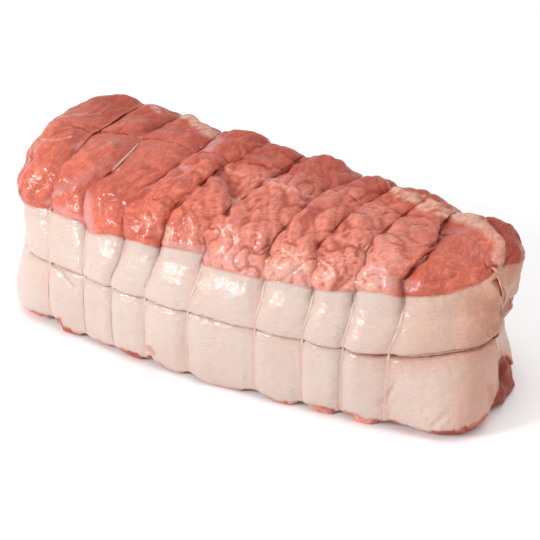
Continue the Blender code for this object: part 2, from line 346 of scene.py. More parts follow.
def above_line(u, v, line):
    """How far the points lie above a line of the photograph, in millimetres of the roast."""
    return (np.interp(u, *np.transpose(line)) - v) / PX_PER_MM


# Fat meets lean along this line of the photograph, lean above it
RIM_LINE = (
    (18, 196), (24, 202), (34, 207), (48, 209), (61, 215), (82, 223), (87, 230), (96, 234),
    (110, 234), (125, 239), (141, 241), (155, 247), (160, 246), (178, 248), (201, 252),
    (203, 264), (216, 268), (257, 277), (265, 279), (283, 281), (312, 288), (332, 291),
    (353, 290), (364, 291), (381, 292), (402, 297), (431, 296), (447, 294), (464, 289),
    (479, 283), (489, 278), (491, 266), (530, 262),
)
# Fat ends along this one, lean below it
FOOT_LINE = (
    (18, 309), (34, 312), (44, 317), (60, 319), (63, 327), (80, 335), (100, 342), (112, 346),
    (122, 349), (147, 358), (150, 355), (155, 362), (169, 371), (178, 373), (196, 381), (214, 389),
    (219, 387), (240, 391), (262, 395), (275, 401), (300, 405), (314, 406), (330, 409), (352, 413),
    (366, 420), (394, 421), (402, 424), (422, 431), (439, 433), (456, 431), (464, 428), (480, 421),
    (489, 412), (493, 402), (494.5, 385), (496, 362), (501, 357), (530, 352),
)
# On the sides that the photograph doesn't show, fat lies between about these heights
RIM_ELSEWHERE, RIM_WANDER, FOOT_ELSEWHERE, FOOT_WANDER = 70, 6, 4, 2.5

# The creases of the loops on top, by loop
CREASE_LINES = {
    1: ((49, 212), (61, 191), (67, 168), (84, 144), (100, 136), (122, 120), (140, 114),
        (172, 104)),
    2: ((86, 220), (90, 193), (116, 171), (140, 142), (160, 131), (182, 121), (196, 112)),
    3: ((126, 238), (124, 218), (132, 203), (150, 192), (160, 180), (178, 168), (200, 153),
        (215, 140), (220, 132)),
    4: ((158, 247), (167, 230), (169, 221), (183, 205), (205, 184), (217, 170), (231, 167),
        (244, 160), (265, 152), (272, 146)),
    5: ((202, 255), (204, 238), (215, 226), (228, 213), (248, 198), (272, 180), (288, 171),
        (302, 158)),
    6: ((264, 277), (268, 254), (280, 237), (292, 221), (308, 205), (325, 194), (350, 188),
        (376, 180), (392, 174)),
    7: ((313, 286), (315, 250), (334, 235), (350, 216), (369, 205), (386, 197), (400, 190)),
    8: ((353, 289), (361, 275), (362, 258), (375, 240), (393, 228), (405, 216), (430, 205),
        (448, 197)),
    9: ((403, 296), (407, 280), (418, 266), (430, 256), (437, 246), (441, 228), (449, 219),
        (460, 213)),
}
# How far a crease may turn aside, in what steps that is tried, by how many pixels the nearest
# may miss the line, and how often the turns are evened
CREASE_TURN, TURN_STEP, TURN_MISS, TURN_EVENING = 18, 0.5, 2, 60
CREASE_RISE = (RIM - 22, RIM + 4)
# Where the left end's corners are evened: places across, stations, clear of the fold, times
CORNER_ACROSS, CORNER_STATIONS, CORNER_FOLD, CORNER_STEPS = (0.75, 0.9), (0.3, 0.08), 6, 40
UNTANGLE_ROUNDS, UNTANGLE_SPREAD, UNTANGLE_STEPS, TURNED_OVER = 3, 30, 10, 0.1
SHARE_SPREAD, SHARE_GAIN = 6, 4
# The lengthwise crease lies this much further back, by station
ALONG_SHIFT = ((0, 0.5, 1, 3, 4, 5, 6, 7, 8, 9, 9.2, 9.4, 9.8, 10),
               (0, 7, 7, 7.5, 4.3, 6.3, 3, 1.2, -0.7, 0.7, 6, 7.5, 9, 5))
ALONG_RISES, END_SHIFT, END_STATIONS = (RIM - 6, RIM + 16), -4, (9.6, 10)
# Where the twine shows on the lean
BARE_MARKS = (
    (((115, 173), (126, 159), (139, 147)), 4, 1),
    (((224, 173), (250, 178), (284, 186), (314, 197)), 5, 0.7),
    (((497, 247), (494, 270), (490, 280)), 4, 1),
)
# Where the creases are shallow
SHALLOW_MARKS = (
    (((84, 144), (100, 136), (122, 120), (146, 108)), 10, 0.9), (((67, 168), (84, 144)), 7, 0.6),
    (((86, 220), (90, 193), (116, 171), (140, 146)), 6, 0.8),
    (((140, 142), (160, 131), (182, 121), (196, 112)), 7, 0.7), (((178, 168), (200, 153)), 5, 0.4),
    (((202, 255), (204, 238), (215, 226)), 5, 0.6), (((313, 286), (315, 252)), 4, 0.6),
    (((353, 289), (361, 275), (362, 256), (375, 240)), 5, 0.6),
    (((369, 205), (386, 197), (400, 190)), 5, 0.4), (((264, 277), (268, 260)), 4, 0.5),
)


def brush(u, v, line, half_wide, wander):
    """1 along a line of the photograph, falling softly to 0 at half_wide and a little beyond."""
    places = np.stack([u, v], axis=1)
    apart = np.min([away_from_line(places, a, np.add(b, 1e-6)) for a, b in zip(line, line[1:])],
                   axis=0)
    return 1 - ease(0.4, 1.3, apart / half_wide + wander)


def strokes(u, v, marks, wander):
    """The strongest of some brush strokes: each is a line, half width in pixels, strength."""
    return np.max([strength * brush(u, v, line, half_wide, wander)
                   for line, half_wide, strength in marks], axis=0)


# The crease beside the right lobe, which shows as a dark line of painted shade and a furrow
FLAP_LOW = ((407, 278), (413, 270), (424, 264), (436, 250))
FLAP_HIGH = ((424, 246), (434, 243), (439, 234), (448, 219))
# Strokes read from the photograph: a line, its half width in pixels and its strength
FILM_AND_GLINT_MARKS = (
    (((88, 193), (92, 232)), 4.5, 1), (((46, 202), (62, 192)), 3, 0.9),
    (((172, 246), (199, 249)), 5, 0.9), (((205, 247), (213, 262)), 7, 0.7),
    (((233, 197), (230, 212)), 4, 1), (((182, 166), (188, 168)), 3, 0.8),
    # The first stroke on the next line paints a small glint in the film's colour; the others are
    # film.
    (((136, 138), (141, 143)), 3, 0.8), (((290, 274), (308, 284)), 6, 0.7),
    (((374, 270), (388, 284)), 9, 0.8), (((52, 208), (84, 221)), 5, 0.7),
    (((74, 146), (82, 146)), 4, 0.6), (((384, 246), (396, 262)), 8, 0.4),
    (((210, 148), (220, 138)), 4, 0.8), (((226, 256), (240, 258)), 9, 0.5),
    (((462, 236), (486, 258)), 8, 0.25), (((404, 290), (414, 286)), 7, 0.6),
    (((62, 190), (84, 176)), 5, 0.4),
)
PALE_MARKS = (
    (((137, 101), (150, 104), (158, 110)), 3, 1),
    (((182, 113), (196, 119), (204, 130), (214, 136)), 6, 1), (((200, 145), (201, 147)), 2.4, 1),
    (((116, 171), (126, 158), (139, 147)), 1.2, 1), (((42, 140), (71, 137)), 1.1, 0.6),
    (((62, 119), (80, 114), (101, 113)), 1.1, 0.6),
    (((397, 194), (412, 199), (426, 208)), 5, 0.95), (((430, 205), (448, 214)), 6, 1),
    (((357, 288), (364, 270), (369, 252)), 4.5, 0.9), (((368, 290), (378, 284)), 5, 0.8),
    (((170, 243), (172, 230)), 3.5, 1), (((269, 274), (282, 270), (300, 266)), 7, 0.7),
    (((359, 257), (363, 258)), 2.5, 0.9), (((416, 264), (436, 250)), 3, 0.8),
    (((491, 276), (493, 284)), 2, 0.8), (((276, 262), (296, 252)), 5, 0.5),
    # The next stroke is the pale ridge over the lengthwise twine, partly painted glints on it.
    (((228, 171), (250, 176), (265, 182), (284, 186), (312, 196)), 1.5, 0.6),
    (((148, 222), (152, 228)), 5, 0.35), (((64, 212), (74, 206)), 4, 0.35),
)
SOFT_MARKS = (
    (((454, 214), (468, 219), (480, 225)), 8, 0.75),
    (((480, 225), (492, 233), (499, 243)), 8, 0.55), (((501, 245), (499, 264)), 6, 0.5),
)
# Painted shade in the hole at the knob on the right end
HOLE_SHADE_MARKS = (
    (((504, 363), (503, 374), (504, 384)), 2, 0.6), (((498, 353), (507, 357)), 1.2, 0.4),
)
# Painted shade in creases, hollows and along the bottom, with a few dark spots of the meat's own
SHADE_AND_DARK_MARKS = (
    (((268, 252), (280, 236), (292, 221)), 3.5, 0.9), (((156, 184), (160, 180)), 3, 1),
    (((423, 196), (438, 201)), 3.5, 0.9), (((452, 209), (461, 213)), 3, 0.9),
    (((216, 141), (222, 132)), 3, 0.9), (FLAP_LOW, 2, 1), (FLAP_HIGH, 1.6, 1),
    (((229, 213), (232, 188), (229, 175)), 2, 0.9), (((270, 180), (290, 170), (302, 160)), 2, 0.9),
    (((200, 152), (197, 160)), 2, 0.8), (((325, 194), (342, 181), (362, 177)), 1.8, 0.7),
    (((374, 240), (393, 229), (402, 218)), 1.8, 0.7),
    (((490, 279), (495, 300), (494, 330)), 1.6, 0.6), (((183, 205), (205, 184)), 1.8, 0.7),
    (((132, 203), (152, 191)), 1.8, 0.7), (((466, 430), (470, 434)), 2, 0.9),
    (((488, 218), (498, 230), (506, 243), (504, 264)), 1.5, 0.6),
    (((440, 436), (485, 428)), 5, 0.3), (((216, 386), (240, 392), (258, 396)), 4, 0.5),
    (((322, 410), (350, 412)), 4, 0.5), (((236, 204), (247, 199)), 1.8, 0.7),
    (((311, 240), (326, 241), (334, 235)), 1.6, 0.6),
)
UMBER_MARKS = (
    (((506, 362), (508, 384), (500, 400)), 14, 0.9),
    (((496, 222), (511, 232), (517, 250), (514, 262)), 9, 0.6),
)
SHADE_MARKS = (
    (((60, 268), (66, 278), (74, 286)), 1.8, 0.35), (((491, 281), (496, 300), (495, 331)), 1.3, 1),
    (((508, 296), (503, 307), (497, 317)), 3.2, 0.9), (((497, 322), (489, 332)), 3, 0.6),
    (((495, 352), (508, 356)), 3, 0.5), (((148, 346), (154, 354)), 2, 0.6),
    (((378, 404), (392, 388)), 3, 0.25), (((488, 386), (490, 404)), 2, 0.6),
)
# The same, with a height in millimetres in place of the strength
RISES = (
    (((143, 224), (152, 216)), 20, 2.2), (((214, 224), (221, 190)), 13, 1.4),
    (((328, 268), (342, 262)), 22, 1.5), (((442, 260), (470, 256)), 28, 1.6),
    (((283, 272), (300, 264)), 14, 1), (((230, 256), (238, 258)), 11, 0.8),
    (((36, 182), (56, 174)), 18, 1.6), (((104, 222), (110, 226)), 11, 1.2),
    (((385, 262), (390, 246)), 13, 1.2), (((420, 262), (436, 249)), 4, 1.2),
    (((517, 286), (511, 299), (505, 311), (497, 323), (489, 332)), 2.2, 2),
    (((507, 386), (502, 397)), 7, 2), (((460, 219), (488, 230), (500, 244), (499, 262)), 6, 1.2),
    (((197, 172), (206, 170)), 9, 1.2),
)
SINKS = (
    (((134, 205), (150, 197), (165, 202), (170, 213)), 3, 1),
    (((182, 167), (195, 162), (208, 166), (217, 174)), 3, 1.6),
    (((205, 184), (210, 175), (222, 171), (230, 177), (232, 188), (229, 214)), 3.2, 2.4),
    (((236, 205), (247, 198), (262, 191), (283, 188), (308, 198)), 3, 1),
    (((240, 228), (248, 250), (260, 275)), 3, 0.9), (((268, 254), (274, 259)), 2, 1),
    (((341, 164), (338, 182)), 3, 0.9), (FLAP_LOW, 2.4, 2.6), (FLAP_HIGH, 2.2, 2.4),
    (((491, 284), (496, 300), (495, 331)), 1.8, 1.6), (((54, 263), (75, 290)), 2.5, 0.7),
    (((433, 426), (448, 414)), 3, 0.8), (((385, 402), (396, 382)), 3, 0.5),
    (((365, 255), (362, 280)), 2.2, 1.4), (((313, 252), (313, 285)), 2, 1),
    (((466, 429), (470, 435)), 2, 1.5), (((520, 298), (513, 313), (504, 327)), 5, 2),
    (((490, 219), (500, 231), (507, 243), (507, 252), (504, 266)), 2, 1.6),
    (((28, 214), (52, 216)), 1.6, 0.5), (((400, 262), (411, 250)), 3, 1),
)

# Relief

# Stations where the lobes stop closing, and where the right end's and left end's faces begin
SHUT_END, RIGHT_FACE, LEFT_FACE, LEFT_LOBE = (9.2, 9.8), (9.7, 9.95), (0.3, 0.05), (1, 0.5)
# Heights over which relief begins, for all of it and for the lengthwise crease on the ends
CLEAR, END_CLEAR = (0, 2.5), (6, 20)
# How much of the fold's form a surface takes, by how upright it is
UPRIGHT = (0.3, 0.8)
LIP, LIP_REACH, LIP_RISE, LIP_FALL = 2.4, 12, (0.9, 2.7), (0.25, 1)
ALONG_LIP, ALONG_RISE, ALONG_SINK = 2, 1, 1.2
VALLEY, VALLEY_HALF_WIDE = 0.7, 5
SIDE_EASE, SIDE_EASE_HALF_WIDE, SIDE_FILL = (0.9, 0.2), 6, 0.65
BARE_RISE = 3
END_EASE, LEFT_EASE, END_EASE_HALF_WIDE, END_FILL = 2.4, 2.4, 9, 0.6
# How far the closed lean fills each loop's crease, from loop 1 on
FILLS = (3, 2.8, 2.2, 2, 2.2, 2, 2.2, 2.2, 1.6)
SHALLOW_FILL, ALONG_FILL, FILL_HALF_WIDE = 4.6, 2.4, 1.9
FOLD_CREVICE, FOLD_HALF_WIDE, FOLD_LIP = 1.9, 0.9, 0.9
WEDGE, WEDGE_HALF_WIDE, WEDGE_ALONG, WEDGE_BACK = 6, 1.8, (70, 125), (10, 40)
# Single places pushed out, or in where below 0: their middle, reach and height
PUSHES = (
    ((-138, -30, 87), 8, -3.5), ((-137, -6, 94), 9, 3.4), ((-27, 48, 93), 8, 2.2),
    ((105, 38, 89), 7, -2), ((-129, -46, 45), 9, -2.8), ((-136, -42, 29), 9, -1.6),
    ((-129, -41, 66), 10, 0.8), ((-92, 49, 98), 8, -3), ((-76, 47, 96), 5, 2),
    ((-65, 49, 95), 7, -3), ((56, 45, 91), 12, -2.2), ((66, 44, 90), 7, -1.5),
    ((83, 37, 92), 8, 3.6), ((101, 36, 86), 7, 1.5), ((93, 39, 92), 7, -2),
    ((20, 44, 93), 11, 2.2), ((-121, 50, 93), 9, 2.5), ((-103, -57, 4), 8, -2.2),
    ((142, 29, 17), 9, -3.5), ((145, 14, 65), 9, 1.5), ((142, 38, 77), 14, -3.6),
    ((139, 30, 58), 9, 3.4), ((135, 37, 47), 10, 4.8), ((132, 38, 42), 6, 1.8),
    ((134, 40, 27), 15, -1.8), ((145, 21, 5), 5, 2), ((145.5, 14, 18), 2.8, 2.6),
    ((143.5, 8.5, 16), 3.4, -4.5), ((143.5, 8.5, 12), 3, -3), ((141, -7, 73), 5, 2.6),
    ((143, -11.5, 70), 4, 1.4), ((147, 0, 23), 3.6, 1.8), ((147.5, 0, 17), 3.6, 2),
    ((148, 1, 11), 3.6, 1.6),
)
LEAN_OVER_FAT, SHALLOW_HALF_WIDE, WARP = 0.9, 4.5, 4
# Between which stations lean is crumpled, and from how far back it is so up to the right end
ROUGH_FROM, ROUGH_TO, ROUGH_FRONT = (2, 4.5), (8.5, 9.1), 30
# The lie of forms in the meat: their angle about Z, and their sizes along the turned axes
SEAM_LIE, CRUMPLE_LIE, PALE_LIE = (62, (34, 13, 20)), (118, (22, 8, 14)), (40, (6, 2.4, 3))
FIBRE_LIES, WRINKLE_LIE = ((50, (11, 2.6, 4)), (118, (12, 2.8, 4))), (0, (3, 3, 2.2))
BIG_LUMPS, SMALL_LUMPS, CRUMPLE, FINE_CRUMPLE, FIBRES, SEAMS = 1.5, 0.35, 2.4, 0.08, 0.6, 1.1
FAT_LUMPS, FAT_WRINKLES = 0.5, 0.25


def finely(edges, step):
    """Places from one edge to the next, about step apart and closer beside the edges."""
    found = []
    for low, high in zip(edges[:-1], edges[1:]):
        t = np.linspace(0, 1, max(int(round((high - low) / step)), 2), endpoint=False)
        found.append(low + (high - low) * (t - CROWDING * np.sin(2 * np.pi * t) / (2 * np.pi)))
    return np.append(np.concatenate(found), edges[-1])


def crease_shift(points, station, across, level):
    """How far along the roast each point moves, so that the creases lie as photographed."""
    tries = np.arange(-CREASE_TURN, CREASE_TURN + 0.1, TURN_STEP)
    shift = np.zeros((LOOPS + 2, len(points)))
    upper = level >= TOP - NEAR
    for loop, line in CREASE_LINES.items():
        ring = np.flatnonzero((np.abs(station - loop) < NEAR) & (upper | (across < -1 + NEAR))
                              & (points[:, 2] > CREASE_RISE[0]))
        moved = points[ring][:, None] + tries[:, None] * (1, 0, 0)
        u, v = photo_places(moved.reshape(-1, 3))
        high, low = np.array(line)[::-1, 1], np.array(line)[::-1, 0]
        miss = np.abs(np.interp(v, high, low) - u).reshape(len(ring), -1)
        best = tries[miss.argmin(axis=1)] * (miss.min(axis=1) < TURN_MISS)
        order = np.argsort(points[ring, 1])
        order = order[:photo_places(points[ring[order]])[1].argmin() + 1]
        y, best = points[ring[order], 1], best[order]
        for _ in range(TURN_EVENING):
            best[1:-1] = (best[:-2] + 2 * best[1:-1] + best[2:]) / 4
        shift[loop] = np.interp(points[:, 1], y, best) * ease(*CREASE_RISE, points[:, 2])
    lobe = lobe_at(station)
    each = np.arange(len(points))
    return mixed(station - lobe, shift[lobe, each], shift[lobe + 1, each])


def gathered(faces, values):
    """The sum, at each point, of its faces' values."""
    corners = faces.ravel()
    return np.stack([np.bincount(corners, part) for part in np.repeat(values, 4, axis=0).T],
                    axis=1)


def spread(values, faces, times):
    """The values at the points, each drawn out over its neighbours."""
    count = np.bincount(faces.ravel())[:, None]
    for _ in range(times):
        values = gathered(faces, values[faces].mean(axis=1)) / count
    return values


def evened(points, faces, where, times):
    """The points drawn to the mean of their neighbours by the share in where."""
    for _ in range(times):
        points = mixed(where[:, None], points, spread(points, faces, 1))
    return points


def untangled(points, faces):
    """The points evened round each face that has turned over."""
    for _ in range(UNTANGLE_ROUNDS):
        a, b, c, d = points[faces].transpose(1, 0, 2)
        normal = np.cross(c - a, d - b)
        normal /= np.linalg.norm(normal, axis=1)[:, None] + 1e-9
        wide = unit(spread(unit(gathered(faces, normal)), faces, UNTANGLE_SPREAD))
        turned_over = np.einsum("ij,ikj->i", normal, wide[faces]) / 4 < TURNED_OVER
        share = np.zeros((len(points), 1))
        share[faces[turned_over].ravel()] = 1
        share = np.minimum(SHARE_GAIN * spread(share, faces, SHARE_SPREAD)[:, 0], 1)
        points = evened(points, faces, share, UNTANGLE_STEPS)
    return points


def make_grid():
    """The body before its small relief: points, faces, and each point's place on the box."""
    columns = np.interp(finely(STATION_X, COLUMN_STEP), STATION_X, STATIONS)
    rows = finely((-HALF_WIDTH, 0, HALF_WIDTH), ROW_STEP) / HALF_WIDTH
    levels = finely((0, FOLD, TOP), LEVEL_STEP)
    (i, j, k), faces = box_skin(len(columns), len(rows), len(levels))
    station, across, level = columns[i], rows[j], levels[k]
    points = body_points(station, across, level, faces)
    corner = ease(*CORNER_ACROSS, np.abs(across)) * ease(*CORNER_STATIONS, station)
    corner *= 1 - bell(points[:, 2] - FOLD, CORNER_FOLD)
    points = evened(points, faces, corner, CORNER_STEPS)
    points[:, 0] += crease_shift(points, station, across, level)
    inner, above = (1 - across ** 2) ** 2, ease(*ALONG_RISES, points[:, 2])
    points[:, 1] += np.interp(station, *ALONG_SHIFT) * inner * above
    points[:, 1] += END_SHIFT * ease(*END_STATIONS, station) * inner * (1 - above)
    return untangled(points, faces), faces, station, across, level


def survey(points, faces, station, across, level):
    """What the relief and the colours go by at each point."""
    f = SimpleNamespace(level=level, out=outward(points, faces))
    f.x, f.y, f.z = points.T.copy()
    f.u, f.v = photo_places(points)
    f.seen = ease(0, 0.25, f.out @ view_axes()[0])
    f.clear, f.high = ease(*CLEAR, f.z), ease(*END_CLEAR, f.z)
    f.on_top = ease(*TOP_BLEND, f.z)
    f.crease = 1 - between_loops(station)
    f.shut = f.on_top * (1 - ease(*SHUT_END, station))
    f.nearest, f.away = nearest_loop(station)
    f.beside = across * HALF_WIDTH
    f.gap, f.aside = np.abs(f.away), np.abs(f.beside)
    f.left, f.right = ease(*LEFT_LOBE, station), ease(*RIGHT_FACE, station)
    f.at_end = ease(*LEFT_FACE, station) + f.right
    f.bare = strokes(f.u, f.v, BARE_MARKS, 0) * f.seen * f.on_top
    f.shallow = strokes(f.u, f.v, SHALLOW_MARKS, 0) * f.seen
    f.ridge = np.maximum(f.shut, f.at_end * f.high) * (1 - f.bare)
    f.side_ease = mixed(ease(2, 6, station), *SIDE_EASE)
    f.reach = np.minimum(LIP_REACH, 0.47 * np.diff(STATION_X)[lobe_at(station)])
    f.rough = (mixed(ease(*ROUGH_FROM, station), 0.25, 1)
               * (1 - 0.75 * ease(*ROUGH_TO, station) * (f.y < ROUGH_FRONT)))

    # Where fat covers the body, in millimetres from its edge
    f.lean_side = mixed(f.seen, f.z - RIM_ELSEWHERE - RIM_WANDER * noise(points, 24, 1),
                        above_line(f.u, f.v, RIM_LINE))
    f.foot = mixed(f.seen * (1 - ease(25, 35, f.z)),
                   f.z - FOOT_ELSEWHERE - FOOT_WANDER * noise(points, 13, 2),
                   above_line(f.u, f.v, FOOT_LINE))
    f.foot += 0.8 * noise(points, 3.5, 13)
    f.cover = np.minimum(-f.lean_side, f.foot)
    f.lean = ease(-0.8, 0.8, -f.cover)
    return f


def close_lips(points, f):
    """Moves the lobes together over the twine on top, and the fat's two bands at the fold."""
    lip = LIP * ease(*LIP_RISE, f.gap) * (1 - ease(*LIP_FALL, f.gap / f.reach))
    lip *= f.shut * (1 - f.bare) * (1 - 0.75 * f.shallow) * (1 + 0.25 * noise(points, 9, 3))
    points[:, 0] -= np.sign(f.away) * lip
    lip = ALONG_LIP * ease(*LIP_RISE, f.aside) * (1 - ease(*LIP_FALL, f.aside / LIP_REACH))
    lip *= 1 - 0.9 * f.left
    points[:, 1] -= np.sign(f.beside) * lip * f.ridge * (1 - f.crease)

    fold = FOLD - REST_CUT + curve_through(f.x - PLACE[0], FOLD_LIFT)
    fold += 0.5 * noise(points, 14, 14)
    f.up = f.z - fold
    f.side = 1 - np.abs(f.out[:, 2])
    f.wedge = ease(*WEDGE_ALONG, f.x) * (1 - ease(*WEDGE_BACK, f.y))
    apart = np.abs(f.up)
    lip = np.where(f.up > 0, FOLD_LIP * mixed(f.wedge, 1, 1.5), 0.7 * FOLD_LIP)
    lip = lip * ease(0.2, 1.4, apart) * (1 - ease(1.8, 8, apart))
    points[:, 2] -= np.sign(f.up) * lip * ease(*UPRIGHT, f.side)


def relief(points, f):
    """How far lumps, fibres, crumpling, the twine and single marks move each point out."""
    f.wander = 0.45 * noise(points, 5, 4)
    swell = 1 - f.crease
    move = f.lean * (BIG_LUMPS * noise(points, 15, 5) * (0.3 + 0.7 * swell)
                     + SMALL_LUMPS * noise(points, 6.5, 6))
    f.seam = bell(noise(turned(points, *SEAM_LIE), 1, 15), 0.07)
    f.seam *= ease(-0.3, 0.4, noise(points, 25, 16))
    move -= f.lean * SEAMS * f.seam
    f.fibres = mixed(ease(-0.4, 0.4, noise(points, 30, 7)),
                     noise(turned(points, *FIBRE_LIES[0]), 1, 8),
                     noise(turned(points, *FIBRE_LIES[1]), 1, 9))
    move += f.lean * FIBRES * np.abs(f.fibres) * (0.4 + ease(-0.2, 0.5, noise(points, 18, 10)))
    warped = points + WARP * np.stack([noise(points, 15, turn) for turn in (40, 41, 42)], axis=1)
    crumple = np.abs(noise(turned(warped, *CRUMPLE_LIE), 1, 17))
    f.furrow = f.rough * ease(0.14, 0, crumple)
    move += f.lean * f.rough * (CRUMPLE * (crumple - 0.3)
                                + FINE_CRUMPLE * (np.abs(noise(points, 3.2, 18)) - 0.3))
    move += (LEAN_OVER_FAT * ease(-0.3, 2.2, -f.cover) * (1 - ease(3, 12, f.lean_side))
             * (f.foot > 0))
    move -= 0.9 * f.lean * (f.foot < 0)
    move += (1 - f.lean) * (FAT_LUMPS * noise(points, 17, 11)
                            + FAT_WRINKLES * (noise(points, 5, 12)
                                              + noise(turned(points, *WRINKLE_LIE), 1, 19)))
    move += ALONG_RISE * f.ridge * swell * bell(f.aside - 4, 3)
    move -= ALONG_SINK * f.ridge * bell(f.aside, 1.6)
    f.crevice = (bell(f.up, mixed(f.wedge, FOLD_HALF_WIDE, WEDGE_HALF_WIDE))
                 * ease(*UPRIGHT, f.side))
    move -= mixed(f.wedge, FOLD_CREVICE, WEDGE) * f.crevice
    for marks, sign in ((RISES, 1), (SINKS, -1)):
        for mark in marks:
            move += sign * strokes(f.u, f.v, (mark,), 0.3 * f.wander) * f.seen
    move *= f.clear * (1 - 0.85 * bell(f.away, 1.2)) * (1 - 0.85 * f.at_end * bell(f.aside, 1.4))

    for middle, reach, height in PUSHES:
        move += height * bell(np.linalg.norm(points - middle, axis=1), reach) * f.clear
    move -= VALLEY * f.shut * bell(f.gap, VALLEY_HALF_WIDE)
    move += f.side_ease * (1 - f.on_top) * f.side * f.clear * bell(f.gap, SIDE_EASE_HALF_WIDE)
    move += END_EASE * f.right * f.high * bell(f.aside, END_EASE_HALF_WIDE)
    move += LEFT_EASE * f.left * f.ridge * bell(f.aside, END_EASE_HALF_WIDE)
    return move + BARE_RISE * f.bare * bell(np.minimum(f.gap, f.aside), 3)


def filling(f):
    """How far the lean and fat close the troughs over the twine that lies in them."""
    fill = mixed(f.shallow, np.array((0, *FILLS))[f.nearest], SHALLOW_FILL)
    fill = f.shut * (1 - f.bare) * fill + SIDE_FILL * (1 - f.on_top) * f.side * f.clear
    fill *= bell(f.gap, mixed(f.shallow * f.on_top, FILL_HALF_WIDE, SHALLOW_HALF_WIDE))
    fill += END_FILL * f.right * f.high * bell(f.aside, FILL_HALF_WIDE)
    along = ALONG_FILL * f.ridge * (1 - f.crease) * (1 - f.left) * bell(f.aside, FILL_HALF_WIDE)
    return np.maximum(fill, along)


def make_body():
    """The body's points and faces, its troughs before they close, and the survey of it all."""
    points, faces, station, across, level = make_grid()
    f = survey(points, faces, station, across, level)
    close_lips(points, f)
    trough = points + f.out * relief(points, f)[:, None]
    points = trough + f.out * filling(f)[:, None]
    points[:, 2] = np.maximum(points[:, 2], 0)
    return points, faces, trough, station, across, f


# Colours

# A surface's own colour, as a share of its colour in the photograph
LEAN_DIM, FAT_DIM, TWINE_DIM = 0.86, 0.68, 0.78
# COAT is how wet the lean is; the other darkens the lean towards the back by channel, partly its
# own tone and partly painted shade.
COAT, FAR_TONE_AND_SHADE = 0.5, np.array((0.2, 0.31, 0.36))


def linear(red, green, blue):
    """A colour as read from a picture, from 0 to 255, in linear light."""
    c = np.array([red, green, blue]) / 255
    return np.where(c <= 0.04045, c / 12.92, ((c + 0.055) / 1.055) ** 2.4)


LEAN_SALMON, LEAN_DUSTY = linear(230, 122, 96), linear(198, 100, 80)
LEAN_BROWN, LEAN_SHADE_AND_GRAIN = linear(176, 86, 68), linear(160, 52, 32)
LEAN_PALE_AND_SHEEN, LEAN_UMBER = linear(246, 174, 154), linear(140, 54, 38)
FILM_AND_GLINT_COLOUR, PALE_AND_GLINT_COLOUR = linear(216, 160, 158), linear(232, 186, 164)
FAT_CREAM, FAT_PINK, FAT_TAN_AND_SHADE = linear(238, 216, 205), linear(238, 202, 188), linear(236, 184, 158)
FAT_END_TONE_AND_SHADE, FAT_SHADE = linear(226, 156, 124), linear(208, 126, 92)
TWINE_CREAM, TWINE_STAINED = linear(246, 228, 212), linear(196, 116, 94)


def tinted(colour, share, other):
    return mixed(share[:, None], colour, other)


def paint_lean(points, f):
    """The colour of the lean with its painted light and shade, the film on it, and how wet it is.
    """
    x, y, z = points.T
    near_rim = np.exp(-np.maximum(f.lean_side, 0) / 18) * f.seen
    # Duller at random, and duller and darker towards the back and away from the front rim: partly
    # the lean's own tone, partly painted shade. Browner at the back and the bottom.
    share = np.clip(0.4 + 0.6 * noise(points, 22, 20) + 0.5 * noise(points, 6, 21)
                    + 0.5 * (1 - near_rim) * ease(-40, 50, y), 0, 1)
    lean = tinted(LEAN_SALMON, share, LEAN_DUSTY)
    brown = np.maximum(ease(20, 60, y) * 0.6, 1 - ease(20, 30, z))
    brown = brown * np.clip(0.6 + noise(points, 16, 22), 0, 1)
    lean = tinted(lean, brown, LEAN_BROWN) * (1 - ease(-5, 40, y)[:, None] * FAR_TONE_AND_SHADE)
    # Paler near the front rim and towards the front: partly pale wet film, partly a painted
    # highlight of glints.
    light = np.minimum(0.2 * ease(25, 0, y) + near_rim, 1) * ease(-35, 15, x) * ease(112, 90, x)
    lean = tinted(lean, light, LEAN_PALE_AND_SHEEN)

    # Painted shade: darker in the loops' creases, the crumple's furrows and along the dark
    # strokes; the fibres' dark streaks and the seams are the meat's own grain.
    deep = f.crease ** 1.3 * f.on_top * 0.85 * (1 - 0.5 * f.shallow)
    deep *= np.clip(0.8 + 0.6 * noise(points, 9, 32), 0, 1)
    for share in (0.35 * ease(0.3, 0, np.abs(f.fibres)), 0.85 * f.furrow, 0.5 * f.seam,
                  strokes(f.u, f.v, SHADE_AND_DARK_MARKS, f.wander) * f.seen):
        deep = np.maximum(deep, share)
    lean = tinted(lean, deep, LEAN_SHADE_AND_GRAIN)
    # Painted shade, deepest down in the creases on top.
    lean = lean * (1 - 0.4 * f.crease ** 4 * f.on_top * (1 - f.shallow))[:, None]

    pale = strokes(f.u, f.v, PALE_MARKS, f.wander) * f.seen
    pale *= np.clip(0.75 + 0.9 * noise(turned(points, *PALE_LIE), 1, 31), 0, 1)
    pale = np.maximum(pale, (1 - f.seen) * 0.8 * ease(0.45, 0.7, noise(points, 20, 23)))
    soft = strokes(f.u, f.v, SOFT_MARKS, 0.5 * f.wander) * f.seen
    umber = strokes(f.u, f.v, UMBER_MARKS, 0.3 * f.wander) * f.seen * (1 - soft)
    lean = tinted(tinted(lean, pale, PALE_AND_GLINT_COLOUR), soft, PALE_AND_GLINT_COLOUR)
    lean = tinted(lean, umber, LEAN_UMBER)
    # Painted shade in the hole at the knob.
    lean = lean * (1 - strokes(f.u, f.v, HOLE_SHADE_MARKS, 0.2 * f.wander) * f.seen)[:, None]
    # Film, with one stroke that is a painted glint.
    film_and_glint = strokes(f.u, f.v, FILM_AND_GLINT_MARKS, f.wander) * f.seen
    film_and_glint = np.maximum(film_and_glint, 0.5 * ease(0.5, 0.8, noise(points, 12, 24)) * near_rim)
    wet = COAT * (1 - 0.5 * ease(-10, 40, y)) * (1 - 0.8 * umber)
    return lean * LEAN_DIM, film_and_glint, wet


